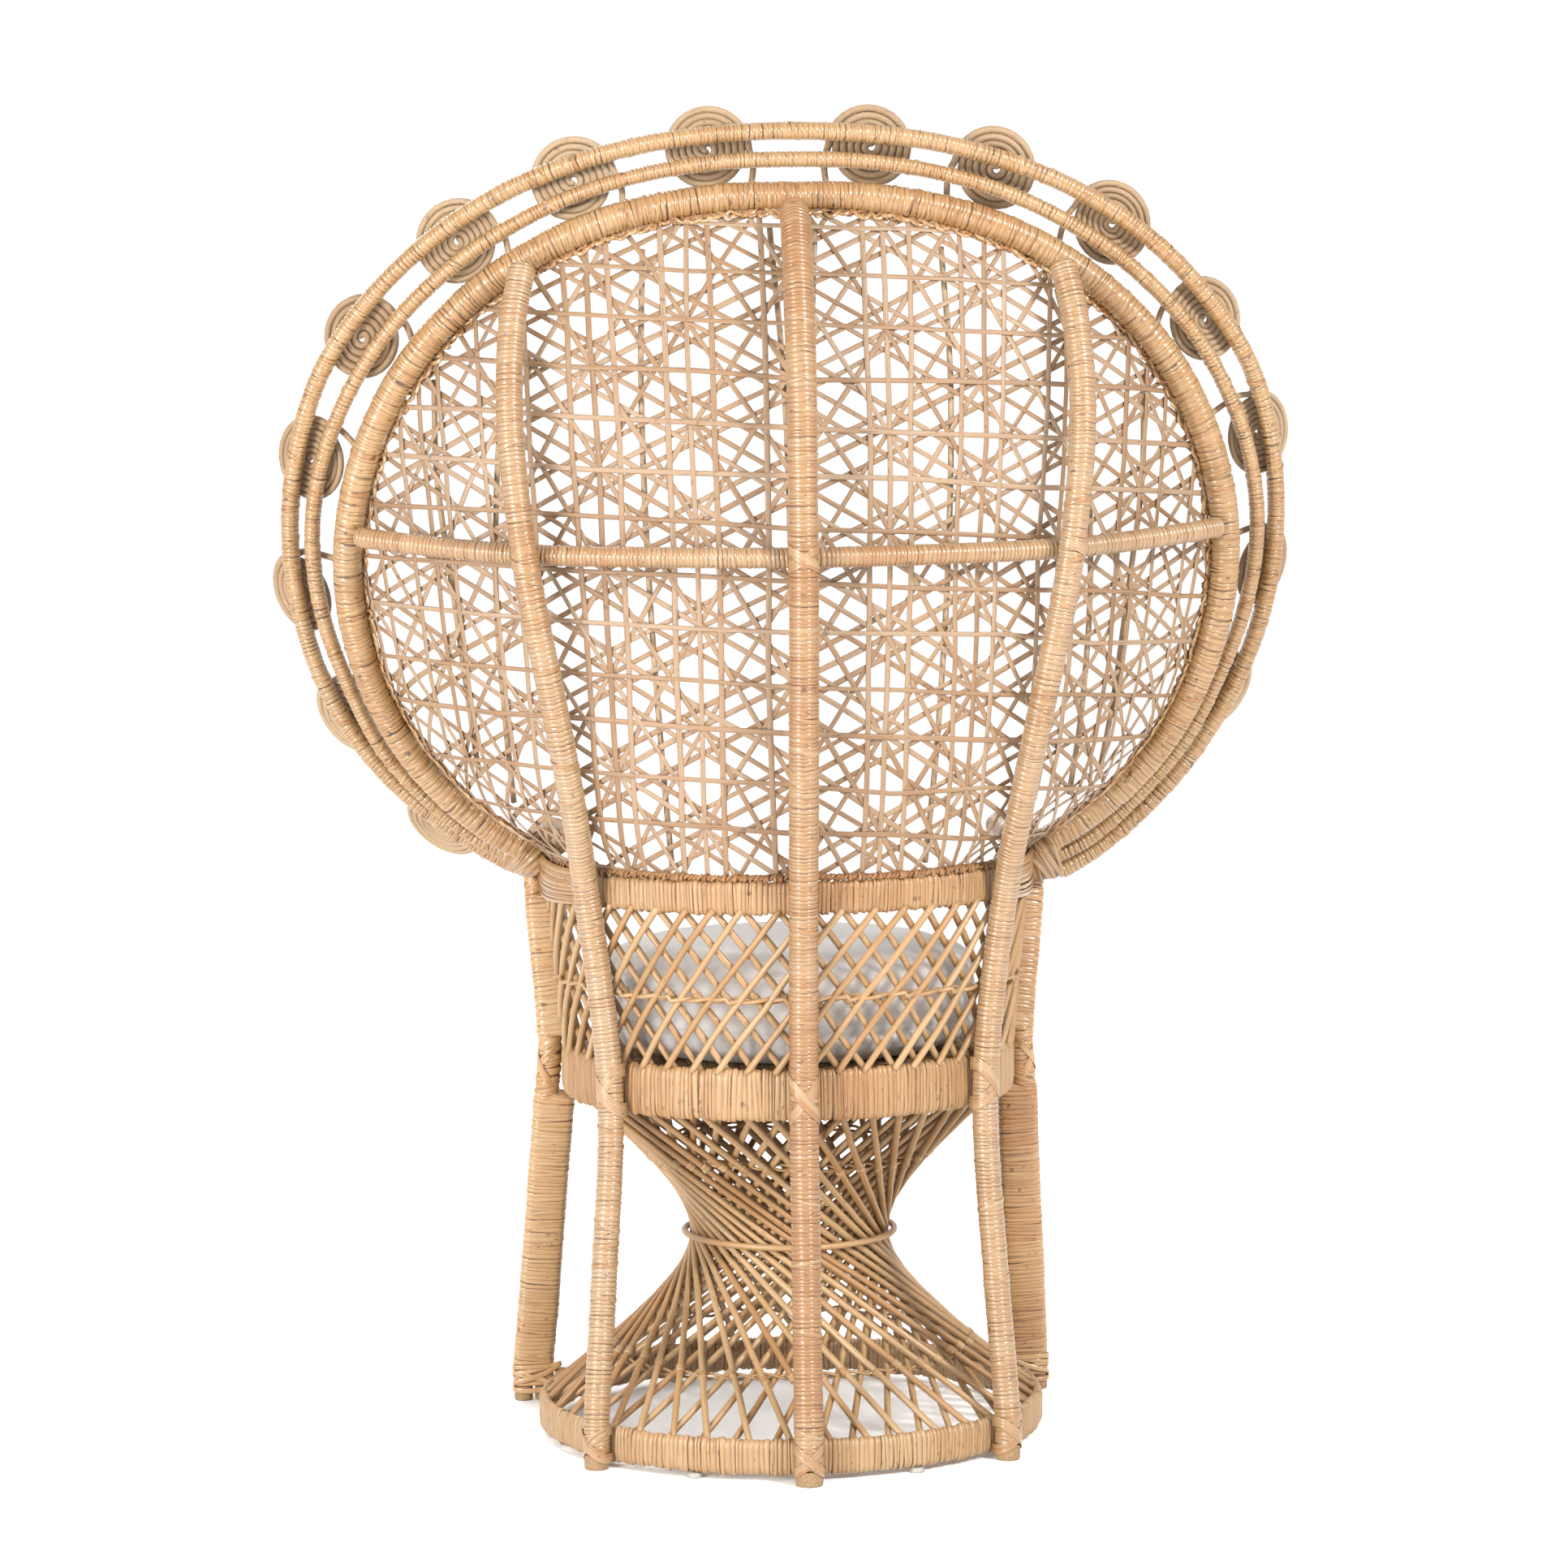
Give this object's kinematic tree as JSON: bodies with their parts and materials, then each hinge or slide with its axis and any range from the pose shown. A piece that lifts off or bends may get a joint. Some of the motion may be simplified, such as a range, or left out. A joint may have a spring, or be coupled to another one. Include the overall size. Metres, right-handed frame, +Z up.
{
  "type": "peacock chair",
  "caption": "Tall fan-backed woven cane armchair on a round hourglass base, with a rim of coiled cane discs and a loose round seat cushion.",
  "frame": {"origin": "on the floor, under the middle of the chair's bounding box", "axes": "+Z up, the sitter faces -Y, the fan back and its posts are on the +Y side, +X is the sitter's left"},
  "size_m": [1.1106, 0.628, 1.4409],
  "materials": {
    "wrapped_cane": "satin, bound with strips of cane peel",
    "cane_stick": "satin round cane",
    "cane_strip": "satin flat cane strip",
    "cane_core": "matt round cane core",
    "end_grain": "matt",
    "glide_plastic": "smooth",
    "canvas": "matt cotton canvas"
  },
  "bodies": {
    "chair": {"post_centre": "wrapped_cane", "post_left": "wrapped_cane", "post_right": "wrapped_cane", "back_brace": "wrapped_cane", "hoop_inner": "wrapped_cane", "hoop_middle": "wrapped_cane", "hoop_outer": "wrapped_cane", "fan_web": "cane_strip", "spiral_left_1": "cane_core", "spiral_left_2": "cane_core", "spiral_left_3": "cane_core", "spiral_left_4": "cane_core", "spiral_left_5": "cane_core", "spiral_left_6": "cane_core", "spiral_left_7": "cane_core", "spiral_left_8": "cane_core", "spiral_right_1": "cane_core", "spiral_right_2": "cane_core", "spiral_right_3": "cane_core", "spiral_right_4": "cane_core", "spiral_right_5": "cane_core", "spiral_right_6": "cane_core", "spiral_right_7": "cane_core", "spiral_right_8": "cane_core", "stay_left_1": "cane_core", "stay_left_2": "cane_core", "stay_left_3": "cane_core", "stay_left_4": "cane_core", "stay_right_1": "cane_core", "stay_right_2": "cane_core", "stay_right_3": "cane_core", "stay_right_4": "cane_core", "arm_ring": "wrapped_cane", "armrest_left": "wrapped_cane", "armrest_right": "wrapped_cane", "leg_left_outer_rod": "wrapped_cane", "leg_left_inner_rod": "wrapped_cane", "leg_left_upper_rod": "wrapped_cane", "leg_right_outer_rod": "wrapped_cane", "leg_right_inner_rod": "wrapped_cane", "leg_right_upper_rod": "wrapped_cane", "leg_tie_left": "wrapped_cane", "leg_tie_right": "wrapped_cane", "seat_ring": "wrapped_cane", "base_ring": "wrapped_cane", "waist_ring": "cane_stick", "base_skirt": "cane_stick", "seat_lattice": "cane_stick", "seat_deck": "cane_strip", "glide_rear_left": "glide_plastic", "glide_rear_right": "glide_plastic", "glide_front_left": "glide_plastic", "glide_front_right": "glide_plastic", "foot_cap_centre": "end_grain", "foot_cap_left": "end_grain", "foot_cap_right": "end_grain", "foot_cap_front_left": "end_grain", "foot_cap_front_right": "end_grain"},
    "cushion": {"seat_cushion": "canvas"}
  },
  "joints": [
    {"name": "cushion_lift", "type": "slide", "parent": "chair", "child": "cushion", "axis": [0, 0, 1], "range_m": [0, 0.35]}
  ]
}
